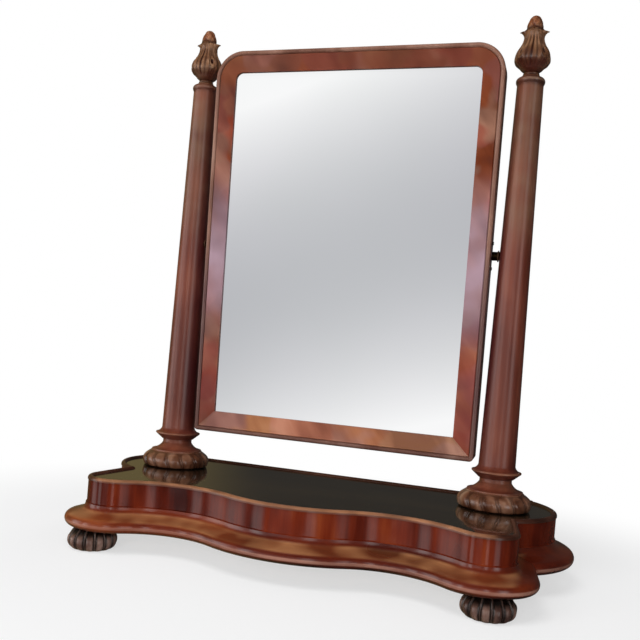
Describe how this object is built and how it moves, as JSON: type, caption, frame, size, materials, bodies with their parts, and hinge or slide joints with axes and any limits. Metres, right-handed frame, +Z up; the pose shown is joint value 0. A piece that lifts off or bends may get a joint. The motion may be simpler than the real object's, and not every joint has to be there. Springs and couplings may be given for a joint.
{
  "type": "dressing table mirror",
  "caption": "Framed swing mirror with rounded top corners, tilting between turned columns with bud finials on a serpentine moulded base with bun feet.",
  "frame": {"origin": "on the floor, in the middle of the base's plan", "axes": "+Z up, -Y towards the front, +X to the right of someone who faces the glass"},
  "size_m": [0.8152, 0.3692, 0.8809],
  "materials": {
    "frame_veneer": "french polished",
    "frieze_veneer": "french polished",
    "mahogany_moulding": "french polished",
    "mahogany_bead": "french polished",
    "turned_mahogany": "french polished",
    "carved_mahogany": "waxed",
    "dark_top": "french polished",
    "pine": "bare",
    "brass": "dull",
    "steel": "dull",
    "leather": "worn",
    "mirror": "silvered"
  },
  "bodies": {
    "base": {"frieze_front": "frieze_veneer", "frieze_left": "frieze_veneer", "frieze_right": "frieze_veneer", "plinth_front": "mahogany_moulding", "plinth_left": "mahogany_moulding", "plinth_right": "mahogany_moulding", "rim_front": "mahogany_bead", "rim_left": "mahogany_bead", "rim_right": "mahogany_bead", "rim_back": "mahogany_bead", "column_left": "turned_mahogany", "column_right": "turned_mahogany", "column_skirt_left": "carved_mahogany", "column_skirt_right": "carved_mahogany", "finial_left": "carved_mahogany", "finial_right": "carved_mahogany", "foot_front_left": "carved_mahogany", "foot_front_right": "carved_mahogany", "foot_rear_left": "carved_mahogany", "foot_rear_right": "carved_mahogany", "top_board": "dark_top", "bottom_board": "pine", "back_board": "pine", "glue_blocks": "pine", "column_block_left": "pine", "column_block_right": "pine", "pivot_bush_left": "brass", "pivot_bush_right": "brass", "column_screws": "steel", "column_washers": "steel"},
    "mirror": {"stile_left": "frame_veneer", "stile_right": "frame_veneer", "top_rail": "frame_veneer", "bottom_rail": "frame_veneer", "corner_block_left": "frame_veneer", "corner_block_right": "frame_veneer", "edge_bead_left": "mahogany_bead", "edge_bead_right": "mahogany_bead", "edge_bead_top": "mahogany_bead", "edge_bead_bottom": "mahogany_bead", "edge_bead_corner_left": "mahogany_bead", "edge_bead_corner_right": "mahogany_bead", "mirror_glass": "mirror", "backboard": "pine", "backboard_screws": "steel", "glass_wedges": "pine", "pivot_plate_left": "brass", "pivot_plate_right": "brass", "pivot_plate_screws": "brass", "friction_washer_left": "leather", "friction_washer_right": "leather"}
  },
  "joints": [
    {"name": "mirror_tilt", "type": "hinge", "parent": "base", "child": "mirror", "pos_m": [0, 0.0765, 0.5028], "axis": [1, 0, 0], "continuous": true}
  ]
}
